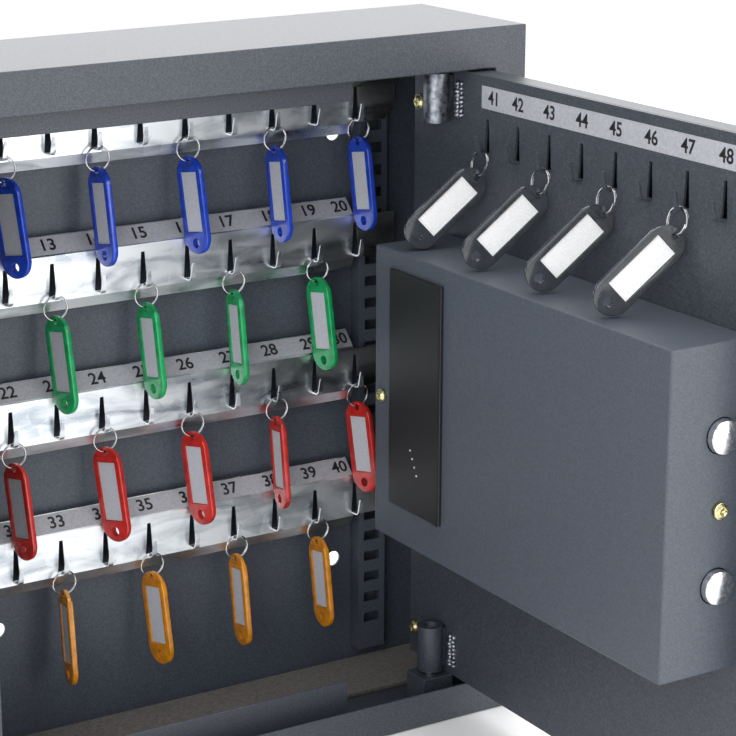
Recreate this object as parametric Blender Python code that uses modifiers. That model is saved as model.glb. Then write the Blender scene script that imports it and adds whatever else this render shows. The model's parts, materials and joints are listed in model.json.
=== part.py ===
"""Electronic key cabinet with 48 hooks, shown with its door open.

X runs to the right, Y to the back and Z up, in metres. The cabinet's back face
is at Y = 0 and its underside at Z = 0. Everything on the door is placed from the
hinge axis in the closed position, and one empty turns it all open by 90 degrees.
"""
import math

import bmesh
import bpy
from mathutils import Matrix, Vector

# Driving dimensions
WIDTH = 0.374
HEIGHT = 0.437
DEPTH = 0.112
SHEET = 0.0015
FLANGE_SIDE = 0.0215
FLANGE_TOP = 0.0245
FLANGE_BOTTOM = 0.022
GAP = 0.0003
ROW_COUNT = 4
HOOKS_PER_ROW = 10
HOOK_PITCH = 0.030
HOOK_SHIFT = -0.008
ROW_PITCH = 0.0864
ROW_ONE_Z = 0.3715
DOOR_HOOKS = 8

# Inner faces of the cabinet and the edges of its front opening
INNER_X = WIDTH / 2 - SHEET
INNER_TOP = HEIGHT - SHEET
OPEN_X = WIDTH / 2 - FLANGE_SIDE
OPEN_TOP = HEIGHT - FLANGE_TOP
FRONT_Y = -DEPTH

# Door and hinge
DOOR_GAP = 0.0015
DOOR_HINGE_GAP = 0.003
DOOR_THICKNESS = 0.0158
PAN_FRONT = 0.002
SKIN = 0.0015
TUBE_RADIUS = 0.008
TUBE_HEIGHT = 0.030
TUBE_STANDOFF = 0.001
PIN_RADIUS = 0.004
HINGE_X = 0.140
HINGE_Y = FRONT_Y + DOOR_THICKNESS + TUBE_STANDOFF + TUBE_RADIUS
DOOR_LIP_OVERLAP = 0.0135
DOOR_OPEN = math.radians(90)

# Door faces and edges, measured from the hinge axis
FACE_Y = -(TUBE_STANDOFF + TUBE_RADIUS)
OUTER_Y = FACE_Y - DOOR_THICKNESS
DOOR_LEFT = -OPEN_X + 0.002 - HINGE_X
DOOR_RIGHT = OPEN_X - DOOR_HINGE_GAP - HINGE_X
LIP_RIGHT = DOOR_RIGHT + DOOR_LIP_OVERLAP + 0.0005
DOOR_LOW = FLANGE_BOTTOM + DOOR_GAP
DOOR_HIGH = OPEN_TOP - DOOR_GAP

# Lock box on the inside of the door
BOX_LEFT = -0.277
BOX_RIGHT = -0.0025
BOX_LOW = 0.129
BOX_HIGH = 0.3095
BOX_DEPTH = 0.053
BOX_SHEET = 0.0012
BOX_INNER_Y = FACE_Y + BOX_DEPTH
BOLT_RADIUS = 0.0095
BOLT_Y = 0.0093
BOLT_Z = (0.1775, 0.2595)
BOLT_OUT = 0.0045
BOLT_PLAY = 0.0006
BOLT_THROW = 0.032
KNOB_X = -0.203
KNOB_Z = sum(BOLT_Z) / 2
CRANK = BOLT_THROW / (2 * math.sin(math.radians(45)))
KNOB_RADIUS = 0.018
SHAFT_RADIUS = 0.004
CRANK_PIN_RADIUS = 0.0025
PLUNGER_RADIUS = 0.003
HATCH_X = (-0.0755, -0.0215)
HATCH_Z = (0.1535, 0.299)
TRAY_WALL = 0.002
KEYPAD_X = (-0.148, -0.066)
KEYPAD_Z = (0.176, 0.300)
KEY_PITCH = 0.0214
KEY_SIZE = 0.0156

# Hook rails and the slotted uprights that carry them
RAIL_Y = -0.0165
RAIL_SHEET = 0.001
RAIL_HALF = 0.156
FIRST_HOOK_X = HOOK_SHIFT - HOOK_PITCH * (HOOKS_PER_ROW - 1) / 2
LABEL_RIGHT = FIRST_HOOK_X + HOOK_PITCH * (HOOKS_PER_ROW - 1) - 0.001
SLOT_HEIGHT = 0.020
FACE_ABOVE = 0.0245
FACE_BELOW = 0.0026
LABEL_LENGTH = 0.0145
UPRIGHT_X = 0.1435
UPRIGHT_WIDTH = 0.019
LABEL_LEFT = -UPRIGHT_X + UPRIGHT_WIDTH / 2 + 0.003
UPRIGHT_SHEET = 0.0012
UPRIGHT_FRONT = -0.0115
UPRIGHT_PITCH = ROW_PITCH / 6
TAB_ABOVE_SLOT = SLOT_HEIGHT + 0.0024

# Key tags: a plate on a split ring
RING_RADIUS = 0.0075
RING_WIRE = 0.00075
TAG_LENGTH = 0.0595
TAG_WIDTH = 0.0225
TAG_THICKNESS = 0.0036
TAG_OVERLAP = 0.003
TAG_LEAN = math.radians(9.5)
DOOR_TAG_LEAN = math.radians(47.5)
DOOR_TAG_TURN = math.radians(-17)
DOOR_RING_LEAN = math.radians(12)
RING_ABOVE_SLOT = 0.0015
RING_OUT = 0.0042
DOOR_SLOT_Z = 0.3655

scene_collection = bpy.context.scene.collection


def clear_scene():
    for obj in list(bpy.data.objects):
        bpy.data.objects.remove(obj, do_unlink=True)


def make_collection(name):
    collection = bpy.data.collections.new(name)
    scene_collection.children.link(collection)
    return collection


def make_material(name, color, roughness, metallic=0.0, alpha=1.0):
    material = bpy.data.materials.new(name)
    material.use_nodes = True
    shader = material.node_tree.nodes["Principled BSDF"]
    shader.inputs["Base Color"].default_value = (*color, 1.0)
    shader.inputs["Roughness"].default_value = roughness
    shader.inputs["Metallic"].default_value = metallic
    shader.inputs["Alpha"].default_value = alpha
    return material


def link_mesh(name, bm, collection, parent=None):
    bmesh.ops.recalc_face_normals(bm, faces=bm.faces)
    mesh = bpy.data.meshes.new(name)
    bm.to_mesh(mesh)
    bm.free()
    obj = bpy.data.objects.new(name, mesh)
    collection.objects.link(obj)
    obj.parent = parent
    return obj


def add_box(bm, low, high):
    low = Vector(low)
    high = Vector(high)
    size = high - low
    middle = (low + high) / 2
    placed = Matrix.Translation(middle) @ Matrix.Diagonal((*size, 1.0))
    return bmesh.ops.create_cube(bm, size=1.0, matrix=placed)["verts"]


def add_cylinder(bm, start, end, radius, end_radius=None, segments=32):
    start = Vector(start)
    end = Vector(end)
    turn = (end - start).to_track_quat("Z", "Y").to_matrix().to_4x4()
    placed = Matrix.Translation((start + end) / 2) @ turn
    tip = radius if end_radius is None else end_radius
    made = bmesh.ops.create_cone(bm, cap_ends=True, segments=segments, radius1=radius,
                                 radius2=tip, depth=(end - start).length, matrix=placed)
    return made["verts"]


def box_object(name, low, high, parent=None, bevel=0.0, collection=None):
    bm = bmesh.new()
    add_box(bm, low, high)
    obj = link_mesh(name, bm, collection or parts, parent)
    if bevel:
        add_bevel(obj, bevel)
    return obj


def cylinder_object(name, start, end, radius, parent=None, end_radius=None, segments=32):
    bm = bmesh.new()
    add_cylinder(bm, start, end, radius, end_radius, segments)
    obj = link_mesh(name, bm, parts, parent)
    return obj


def add_bevel(obj, width, segments=2):
    modifier = obj.modifiers.new("rounded edges", "BEVEL")
    modifier.width = width
    modifier.segments = segments
    modifier.limit_method = "ANGLE"


def combine(obj, helper, operation="DIFFERENCE"):
    helper.hide_render = True
    helper.display_type = "WIRE"
    modifier = obj.modifiers.new(operation.lower(), "BOOLEAN")
    modifier.operation = operation
    modifier.solver = "EXACT"
    modifier.object = helper


def cut_boxes(obj, boxes, parent=None):
    bm = bmesh.new()
    for low, high in boxes:
        add_box(bm, low, high)
    combine(obj, link_mesh(obj.name + "_cut", bm, cutters, parent))


def cut_cylinders(obj, cylinders, parent=None, segments=32):
    bm = bmesh.new()
    for start, end, radius in cylinders:
        add_cylinder(bm, start, end, radius, segments=segments)
    combine(obj, link_mesh(obj.name + "_bore", bm, cutters, parent))


def add_sheet_boxes(obj, boxes, parent=None):
    bm = bmesh.new()
    for low, high in boxes:
        add_box(bm, low, high)
    combine(obj, link_mesh(obj.name + "_added", bm, cutters, parent), "UNION")


def add_strip(bm, path, low_x, high_x):
    """A bent strip of sheet: a path in the YZ plane drawn out along X."""
    verts = [bm.verts.new((low_x, y, z)) for y, z in path]
    edges = [bm.edges.new(pair) for pair in zip(verts, verts[1:])]
    drawn = bmesh.ops.extrude_edge_only(bm, edges=edges)["geom"]
    moved = [item for item in drawn if isinstance(item, bmesh.types.BMVert)]
    bmesh.ops.translate(bm, verts=moved, vec=(high_x - low_x, 0, 0))
    faces = [item for item in drawn if isinstance(item, bmesh.types.BMFace)]
    bmesh.ops.recalc_face_normals(bm, faces=faces)
    return verts, moved


def strip_object(name, path, low_x, high_x, thickness, collection, parent=None):
    bm = bmesh.new()
    add_strip(bm, path, low_x, high_x)
    obj = link_mesh(name, bm, collection, parent)
    solid = obj.modifiers.new("sheet", "SOLIDIFY")
    solid.thickness = thickness
    solid.offset = 0.0
    solid.use_even_offset = True
    return obj


def hook_path(face_y, slot_z):
    """The bent tongue of a hook: out from the sheet, round a curve and up to its tip."""
    out = 0.0042
    bend = 0.0035
    start_z = slot_z - 0.0005
    path = [(face_y, slot_z - 0.0016), (face_y - 0.0004, start_z - 0.0001), (face_y - out, start_z)]
    for step in range(1, 5):
        angle = math.radians(90 * step / 4)
        y = face_y - out - bend * math.sin(angle)
        z = start_z + bend * (1 - math.cos(angle))
        path.append((y, z))
    path.append((face_y - out - bend - 0.0009, slot_z + 0.0105))
    return path


def add_hooks(obj, centres, face_y, slot_z, sheet, parent=None):
    """Cut one tapered slot behind each hook, then join the tongues to the sheet."""
    slots = bmesh.new()
    for x in centres:
        verts = add_box(slots, (x - 0.0024, face_y - 0.003, slot_z),
                        (x + 0.0024, face_y + 0.003, slot_z + SLOT_HEIGHT))
        for vert in verts:
            if vert.co.z > slot_z + SLOT_HEIGHT / 2:
                vert.co.x = x + (vert.co.x - x) * 0.5
    combine(obj, link_mesh(obj.name + "_slots", slots, cutters, parent))
    path = hook_path(face_y, slot_z)
    tongues = bmesh.new()
    for x in centres:
        left, right = add_strip(tongues, path, x - 0.0016, x + 0.0016)
        for vert in (left[-1], *[v for v in right if v.co.z > slot_z + 0.010]):
            vert.co.x = x + (vert.co.x - x) * 0.55
    tool = link_mesh(obj.name + "_tongues", tongues, cutters, parent)
    solid = tool.modifiers.new("sheet", "SOLIDIFY")
    solid.thickness = sheet * 0.9
    solid.offset = 0.0
    solid.use_even_offset = True
    combine(obj, tool, "UNION")


# --- Cabinet ---------------------------------------------------------------

def build_shell():
    shell = box_object("cabinet_shell", (-WIDTH / 2, FRONT_Y, 0), (WIDTH / 2, 0, HEIGHT))
    inside = ((-INNER_X, FRONT_Y + SHEET, SHEET), (INNER_X, 0.01, INNER_TOP))
    opening = ((-OPEN_X, FRONT_Y - 0.01, FLANGE_BOTTOM), (OPEN_X, -0.05, OPEN_TOP))
    cut_boxes(shell, [inside])
    bm = bmesh.new()
    add_box(bm, *opening)
    combine(shell, link_mesh("opening_cut", bm, cutters))
    finish(shell, paint)


def build_back_panel():
    side = INNER_X - GAP
    panel = box_object("back_panel", (-side, -SHEET, SHEET + GAP), (side, 0, INNER_TOP - GAP))
    holes = []
    for x in (-0.120, 0.120):
        for z in (0.076, HEIGHT - 0.076):
            holes.append(((x, -0.01, z), (x, 0.01, z), 0.005))
    cut_cylinders(panel, holes, segments=24)
    finish(panel, inner_paint)


def build_stop_lips():
    front = FRONT_Y + DOOR_THICKNESS + 0.0005
    back = front + SHEET
    top = box_object("stop_lip_top", (-OPEN_X, front, OPEN_TOP - 0.014),
                     (0.076, back, INNER_TOP - GAP))
    finish(top, paint)
    bottom = box_object("stop_lip_bottom", (-OPEN_X, front, SHEET + GAP), (0.073, back, 0.035))
    finish(bottom, paint)


def build_strike():
    """The folded angle behind the left flange that the thrown bolts lock behind."""
    back = HINGE_Y + BOLT_Y - BOLT_RADIUS - 0.0015
    low = DOOR_LOW + 0.020
    high = DOOR_HIGH - 0.020
    strike = box_object("strike_angle", (-OPEN_X - SHEET, FRONT_Y + SHEET + GAP, low),
                        (-OPEN_X, back, high))
    add_sheet_boxes(strike, [((-INNER_X + GAP, back - SHEET, low + 0.0001),
                              (-OPEN_X - SHEET / 2, back - 0.0001, high - 0.0001))])
    finish(strike, paint)


def build_upright(side):
    name = "upright_right" if side > 0 else "upright_left"
    half = UPRIGHT_WIDTH / 2
    low = 0.012
    length = HEIGHT - 0.026
    back = -SHEET - GAP - UPRIGHT_SHEET / 2
    path = [(back, -half), (UPRIGHT_FRONT, -half), (UPRIGHT_FRONT, half), (back, half)]
    bm = bmesh.new()
    add_strip(bm, path, 0, length)
    # The strip is drawn along X: stand it up and move it to its place.
    swap = Matrix(((0, 0, 1, side * UPRIGHT_X), (0, 1, 0, 0), (1, 0, 0, low), (0, 0, 0, 1)))
    bm.transform(swap)
    upright = link_mesh(name, bm, parts)
    solid = upright.modifiers.new("sheet", "SOLIDIFY")
    solid.thickness = UPRIGHT_SHEET
    solid.offset = 0.0
    solid.use_even_offset = True
    first = ROW_ONE_Z + TAB_ABOVE_SLOT - 25 * UPRIGHT_PITCH
    slots = []
    for step in range(28):
        z = first + step * UPRIGHT_PITCH
        if low + 0.008 < z < low + length - 0.008:
            slots.append(((side * UPRIGHT_X - 0.006, -0.02, z - 0.00325),
                          (side * UPRIGHT_X + 0.006, UPRIGHT_FRONT + 0.003, z + 0.00325)))
    cut_boxes(upright, slots)
    finish(upright, inner_paint)


def build_rail(row):
    slot_z = ROW_ONE_Z - (row - 1) * ROW_PITCH
    bend_z = slot_z + FACE_ABOVE
    low_z = slot_z - FACE_BELOW
    lean = LABEL_LENGTH * math.sin(math.radians(45))
    path = [(RAIL_Y + 0.0035, low_z - 0.0068), (RAIL_Y, low_z), (RAIL_Y, bend_z),
            (RAIL_Y + lean, bend_z + lean)]
    rail = strip_object(f"hook_rail_{row}", path, -RAIL_HALF, RAIL_HALF, RAIL_SHEET, parts)
    # Past the last hooks only the upright face goes on, with its lower corner cut off.
    upper = []
    lower = []
    for near, far in ((-RAIL_HALF - 0.01, LABEL_LEFT), (LABEL_RIGHT, RAIL_HALF + 0.01)):
        upper.append(((near, -0.03, bend_z - 0.0004), (far, 0.01, bend_z + 0.03)))
        lower.append(((near, -0.03, low_z - 0.02), (far, 0.01, low_z + 0.0004)))
    cut_boxes(rail, upper)
    cut_boxes(rail, lower)
    corners = bmesh.new()
    for side in (-1, 1):
        corner = add_box(corners, (-0.006, -0.03, -0.006), (0.006, 0.01, 0.006))
        turn = Matrix.Translation((side * RAIL_HALF, 0, low_z)) @ Matrix.Rotation(math.pi / 4, 4, "Y")
        bmesh.ops.transform(corners, matrix=turn, verts=corner)
    combine(rail, link_mesh(rail.name + "_corners", corners, cutters))
    centres = [FIRST_HOOK_X + number * HOOK_PITCH for number in range(HOOKS_PER_ROW)]
    add_hooks(rail, centres, RAIL_Y, slot_z, RAIL_SHEET)
    tabs = []
    tab_z = slot_z + TAB_ABOVE_SLOT
    for side in (-1, 1):
        x = side * UPRIGHT_X
        tabs.append(((x - 0.0042, RAIL_Y + 0.0001, tab_z - 0.0006), (x + 0.0042, -0.0092, tab_z + 0.0006)))
    add_sheet_boxes(rail, tabs)
    finish(rail, zinc)


def build_felt():
    side = INNER_X - 0.004
    low = SHEET + GAP
    mat = box_object("felt_mat", (-side, -0.056, low), (side, -0.0045, low + 0.0026))
    finish(mat, felt)


def build_hinge_fixings():
    """Blocks welded inside the cabinet that hold the two fixed hinge pins."""
    bore = PIN_RADIUS + GAP
    spans = {"upper": (DOOR_HIGH + 0.0004, INNER_TOP - GAP), "lower": (SHEET + GAP, DOOR_LOW - 0.0004)}
    tube_low = DOOR_LOW + 0.002
    tube_high = DOOR_HIGH - 0.002
    pins = {"upper": (tube_high - TUBE_HEIGHT + 0.002, INNER_TOP - 2 * GAP),
            "lower": (SHEET + 2 * GAP, tube_low + TUBE_HEIGHT - 0.001)}
    for place, (low, high) in spans.items():
        block = box_object(f"hinge_block_{place}", (HINGE_X - 0.011, HINGE_Y - 0.010, low),
                           (HINGE_X + 0.011, HINGE_Y + 0.010, high))
        cut_cylinders(block, [((HINGE_X, HINGE_Y, low - 0.01), (HINGE_X, HINGE_Y, high + 0.01), bore)])
        finish(block, paint)
        start, end = pins[place]
        pin = cylinder_object(f"hinge_pin_{place}", (HINGE_X, HINGE_Y, start),
                              (HINGE_X, HINGE_Y, end), PIN_RADIUS)
        finish(pin, steel, True)


# --- Door ------------------------------------------------------------------

def build_door(hinge):
    pan_back = FACE_Y - SKIN - GAP
    pan = box_object("door_panel", (DOOR_LEFT, OUTER_Y, DOOR_LOW), (DOOR_RIGHT, pan_back, DOOR_HIGH), hinge)
    hollow = ((DOOR_LEFT + SKIN, OUTER_Y + PAN_FRONT, DOOR_LOW + SKIN),
              (DOOR_RIGHT - SKIN, pan_back + 0.01, DOOR_HIGH - SKIN))
    cut_boxes(pan, [hollow], hinge)
    cut_cylinders(pan, [((KNOB_X, -0.05, KNOB_Z), (KNOB_X, 0, KNOB_Z), 0.0046)], hinge)
    finish(pan, paint)
    sheet = box_object("door_inner_sheet", (DOOR_LEFT, FACE_Y - SKIN, DOOR_LOW),
                       (LIP_RIGHT, FACE_Y, DOOR_HIGH), hinge)
    cut_cylinders(sheet, [((KNOB_X, -0.05, KNOB_Z), (KNOB_X, 0.01, KNOB_Z), 0.0046)], hinge)
    add_hooks_to_door(sheet, hinge)
    finish(sheet, paint)


def door_hook_centres():
    first = LIP_RIGHT - 0.077
    return [first - number * HOOK_PITCH for number in range(DOOR_HOOKS)]


def add_hooks_to_door(sheet, hinge):
    """The door's hooks point inwards, so the strip is built facing front and turned."""
    slot_z = DOOR_SLOT_Z
    slots = bmesh.new()
    tongues = bmesh.new()
    path = hook_path(-FACE_Y + SKIN / 2, slot_z)
    flipped = [(-y, z) for y, z in path]
    for x in door_hook_centres():
        verts = add_box(slots, (x - 0.0024, FACE_Y - 0.004, slot_z),
                        (x + 0.0024, FACE_Y + 0.003, slot_z + SLOT_HEIGHT))
        for vert in verts:
            if vert.co.z > slot_z + SLOT_HEIGHT / 2:
                vert.co.x = x + (vert.co.x - x) * 0.5
        left, right = add_strip(tongues, flipped, x - 0.0016, x + 0.0016)
        for vert in (left[-1], *[v for v in right if v.co.z > slot_z + 0.010]):
            vert.co.x = x + (vert.co.x - x) * 0.55
    combine(sheet, link_mesh("door_slots", slots, cutters, hinge))
    tool = link_mesh("door_tongues", tongues, cutters, hinge)
    solid = tool.modifiers.new("sheet", "SOLIDIFY")
    solid.thickness = SKIN * 0.8
    solid.offset = 0.0
    solid.use_even_offset = True
    combine(sheet, tool, "UNION")


def build_hinge_tubes(hinge):
    lows = {"lower": DOOR_LOW + 0.002, "upper": DOOR_HIGH - 0.002 - TUBE_HEIGHT}
    for place, low in lows.items():
        high = low + TUBE_HEIGHT
        tube = cylinder_object(f"hinge_tube_{place}", (0, 0, low), (0, 0, high), TUBE_RADIUS, hinge)
        foot = ((-0.005, FACE_Y + GAP, low + 0.002), (0.005, FACE_Y + 0.004, high - 0.002))
        add_sheet_boxes(tube, [foot], hinge)
        cut_cylinders(tube, [((0, 0, low - 0.01), (0, 0, high + 0.01), PIN_RADIUS + GAP)], hinge)
        finish(tube, paint, True)
        middle = (low + high) / 2 + (0.001 if place == "lower" else -0.008)
        screw = dome_screw(f"hinge_screw_{place}", (LIP_RIGHT - 0.0065, FACE_Y + GAP, middle),
                           (0, 1, 0), 0.0047, hinge)
        finish(screw, yellow_zinc, True)


def dome_screw(name, foot, direction, radius, parent):
    """A pan head: a short cylinder under a shallow cone, with a cross cut in it."""
    foot = Vector(foot)
    direction = Vector(direction)
    bm = bmesh.new()
    add_cylinder(bm, foot, foot + direction * 0.0016, radius, segments=24)
    screw = link_mesh(name, bm, parts, parent)
    dome = bmesh.new()
    add_cylinder(dome, foot + direction * 0.0012, foot + direction * 0.0032, radius * 0.99,
                 end_radius=radius * 0.6, segments=24)
    combine(screw, link_mesh(name + "_dome", dome, cutters, parent), "UNION")
    top = foot + direction * 0.0035
    up = Vector((0, 0, 1))
    side = direction.cross(up)
    for index, (long_way, short_way) in enumerate(((side, up), (up, side))):
        reach = long_way * radius * 0.5 + short_way * 0.0005 + direction * 0.0015
        ends = (top - reach, top + reach)
        low = [min(pair) for pair in zip(*ends)]
        high = [max(pair) for pair in zip(*ends)]
        cross = bmesh.new()
        add_box(cross, low, high)
        combine(screw, link_mesh(f"{name}_cross_{index}", cross, cutters, parent))
    return screw


def build_lock_cover(hinge):
    foot = FACE_Y + GAP
    cover = box_object("lock_cover", (BOX_LEFT, foot, BOX_LOW), (BOX_RIGHT, BOX_INNER_Y, BOX_HIGH),
                       hinge, 0.001)
    hollow = ((BOX_LEFT + BOX_SHEET, foot - 0.01, BOX_LOW + BOX_SHEET),
              (BOX_RIGHT - BOX_SHEET, BOX_INNER_Y - BOX_SHEET, BOX_HIGH - BOX_SHEET))
    cut_boxes(cover, [hollow], hinge)
    bolts = [((BOX_LEFT - 0.01, BOLT_Y, z), (BOX_LEFT + 0.01, BOLT_Y, z), BOLT_RADIUS + BOLT_PLAY)
             for z in BOLT_Z]
    cut_cylinders(cover, bolts, hinge)
    window = bmesh.new()
    add_box(window, (-0.068, 0.02, 0.166), (-0.029, 0.06, 0.286))
    combine(cover, link_mesh("battery_window", window, cutters, hinge))
    finish(cover, paint)
    left = dome_screw("cover_screw_face", (BOX_RIGHT - 0.009, BOX_INNER_Y + GAP, KNOB_Z - 0.001),
                      (0, 1, 0), 0.0042, hinge)
    finish(left, yellow_zinc, True)
    side = dome_screw("cover_screw_side", (BOX_LEFT - GAP, BOLT_Y - 0.0005, KNOB_Z + 0.0005),
                      (-1, 0, 0), 0.0046, hinge)
    finish(side, yellow_zinc, True)


def build_battery(hinge):
    """A hatch that slides up off the box face, over an open tray for the cells."""
    foot = BOX_INNER_Y + GAP
    low_x, high_x = HATCH_X
    low_z, high_z = HATCH_Z
    lid = box_object("battery_cover", (low_x, foot, low_z), (high_x, foot + 0.0022, high_z),
                     hinge, 0.0006)
    ridge = ((low_x + 0.0002, foot + 0.0010, low_z + 0.0002),
             (low_x + 0.006, foot + 0.0030, high_z - 0.0002))
    add_sheet_boxes(lid, [ridge], hinge)
    finish(lid, black_plastic)
    back = BOX_INNER_Y - 0.0235
    front = BOX_INNER_Y - BOX_SHEET - GAP
    tray = box_object("battery_holder", (low_x + 0.0015, back, low_z + 0.0025),
                      (high_x - 0.0015, front, high_z - 0.003), hinge)
    hollow = ((low_x + 0.0035, back + TRAY_WALL, low_z + 0.0045),
              (high_x - 0.0035, front + 0.02, high_z - 0.005))
    cut_boxes(tray, [hollow], hinge)
    finish(tray, black_plastic)


def build_lock(hinge):
    plate = box_object("lock_plate", (BOX_LEFT + 0.009, FACE_Y + GAP, BOX_LOW + 0.005),
                       (KNOB_X + 0.063, FACE_Y + GAP + 0.0015, BOX_HIGH - 0.0055), hinge)
    shaft_hole = ((KNOB_X, FACE_Y - 0.02, KNOB_Z), (KNOB_X, FACE_Y + 0.02, KNOB_Z))
    cut_cylinders(plate, [(*shaft_hole, SHAFT_RADIUS + BOLT_PLAY)], hinge)
    finish(plate, zinc)
    flange_x = BOX_LEFT + 0.0395
    for place, z in zip(("lower", "upper"), BOLT_Z):
        bolt = cylinder_object(f"bolt_{place}", (BOX_LEFT - BOLT_OUT, BOLT_Y, z),
                               (flange_x - GAP, BOLT_Y, z), BOLT_RADIUS, hinge, segments=40)
        add_bevel(bolt, 0.0008)
        finish(bolt, steel, True)
    # One angle carries both bolts; the crank pin of the knob's shaft works in its slot.
    low = BOLT_Z[0] - 0.012
    high = BOLT_Z[1] + 0.012
    carriage = box_object("bolt_carriage", (flange_x, -0.0015, low),
                          (flange_x + 0.002, 0.0215, high), hinge)
    web = ((flange_x + 0.0001, 0.0190, low + 0.0001), (KNOB_X + CRANK + 0.004, 0.0210, high - 0.0001))
    add_sheet_boxes(carriage, [web], hinge)
    pin_x = KNOB_X + CRANK * math.sin(math.radians(45))
    slot_half = CRANK_PIN_RADIUS + 0.0011
    slot = ((pin_x - slot_half, 0.015, KNOB_Z + CRANK * 0.6 - slot_half),
            (pin_x + slot_half, 0.03, KNOB_Z + CRANK + 2 * slot_half))
    cut_boxes(carriage, [slot], hinge)
    finish(carriage, zinc)
    build_knob(hinge)
    build_solenoid(hinge, low)


def build_solenoid(hinge, carriage_low):
    """Its plunger stands just under the carriage and drops out of the way to free it."""
    x = KNOB_X + 0.003
    y = 0.020
    high = BOX_LOW + 0.030
    solenoid = box_object("solenoid_body", (x - 0.016, y - 0.012, BOX_LOW + 0.003),
                          (x + 0.016, y + 0.012, high), hinge, 0.001)
    bore = ((x, y, BOX_LOW + 0.008), (x, y, high + 0.01))
    cut_cylinders(solenoid, [(*bore, PLUNGER_RADIUS + BOLT_PLAY)], hinge)
    finish(solenoid, zinc)
    plunger = cylinder_object("solenoid_plunger", (x, y, BOX_LOW + 0.0135),
                              (x, y, carriage_low - 0.0006), PLUNGER_RADIUS, hinge, segments=24)
    finish(plunger, steel, True)


def build_knob(hinge):
    front = OUTER_Y - GAP
    shaft = cylinder_object("knob_shaft", (KNOB_X, OUTER_Y - 0.012, KNOB_Z), (KNOB_X, 0.0165, KNOB_Z),
                            SHAFT_RADIUS, hinge, segments=24)
    pin_x = KNOB_X + CRANK * math.sin(math.radians(45))
    pin_z = KNOB_Z + CRANK * math.cos(math.radians(45))
    arm = bmesh.new()
    verts = add_box(arm, (-0.006, 0.0130, -0.006), (CRANK + 0.005, 0.0162, 0.006))
    turn = Matrix.Translation((KNOB_X, 0, KNOB_Z)) @ Matrix.Rotation(math.radians(-45), 4, "Y")
    bmesh.ops.transform(arm, matrix=turn, verts=verts)
    combine(shaft, link_mesh("crank_arm", arm, cutters, hinge), "UNION")
    pin = bmesh.new()
    add_cylinder(pin, (pin_x, 0.0145, pin_z), (pin_x, 0.0225, pin_z), CRANK_PIN_RADIUS, segments=20)
    combine(shaft, link_mesh("crank_pin", pin, cutters, hinge), "UNION")
    finish(shaft, steel, True)
    knob = cylinder_object("knob", (KNOB_X, front, KNOB_Z), (KNOB_X, front - 0.020, KNOB_Z),
                           KNOB_RADIUS, hinge, KNOB_RADIUS - 0.0015)
    grip = bmesh.new()
    half = KNOB_RADIUS - 0.0015
    add_box(grip, (KNOB_X - 0.0035, front - 0.027, KNOB_Z - half),
            (KNOB_X + 0.0035, front - 0.018, KNOB_Z + half))
    combine(knob, link_mesh("knob_grip", grip, cutters, hinge), "UNION")
    socket = ((KNOB_X, front + 0.01, KNOB_Z), (KNOB_X, OUTER_Y - 0.0125, KNOB_Z))
    cut_cylinders(knob, [(*socket, SHAFT_RADIUS + 0.0003)], hinge)
    finish(knob, black_metal, True)


def build_keypad(hinge):
    front = OUTER_Y - GAP
    low_x, high_x = KEYPAD_X
    low_z, high_z = KEYPAD_Z
    housing = box_object("keypad_housing", (low_x, front - 0.012, low_z), (high_x, front, high_z),
                         hinge, 0.003)
    edge = 0.007
    well = ((low_x + edge, front - 0.02, low_z + edge), (high_x - edge, front - 0.006, high_z - 0.028))
    cut_boxes(housing, [well], hinge)
    finish(housing, black_plastic)
    edge += 0.0003
    mat = box_object("keypad_mat", (low_x + edge, front - 0.0095, low_z + edge),
                     (high_x - edge, front - 0.0063, high_z - 0.0283), hinge)
    centre_x = (low_x + high_x) / 2
    centre_z = (low_z + high_z - 0.021) / 2
    half = KEY_SIZE / 2
    keys = []
    for column in range(3):
        for row in range(4):
            x = centre_x + (column - 1) * KEY_PITCH
            z = centre_z + (row - 1.5) * KEY_PITCH
            keys.append(((x - half, front - 0.0135, z - half), (x + half, front - 0.0085, z + half)))
    add_sheet_boxes(mat, keys, hinge)
    finish(mat, rubber)
    lock_z = KNOB_Z + 0.0625
    rosette = cylinder_object("key_cylinder", (KNOB_X, front, lock_z), (KNOB_X, front - 0.006, lock_z),
                              0.0125, hinge, 0.0115)
    keyway = ((KNOB_X - 0.0011, front - 0.01, lock_z - 0.0045),
              (KNOB_X + 0.0011, front - 0.002, lock_z + 0.0045))
    cut_boxes(rosette, [keyway], hinge)
    finish(rosette, steel, True)


# --- Key tags --------------------------------------------------------------

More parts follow.
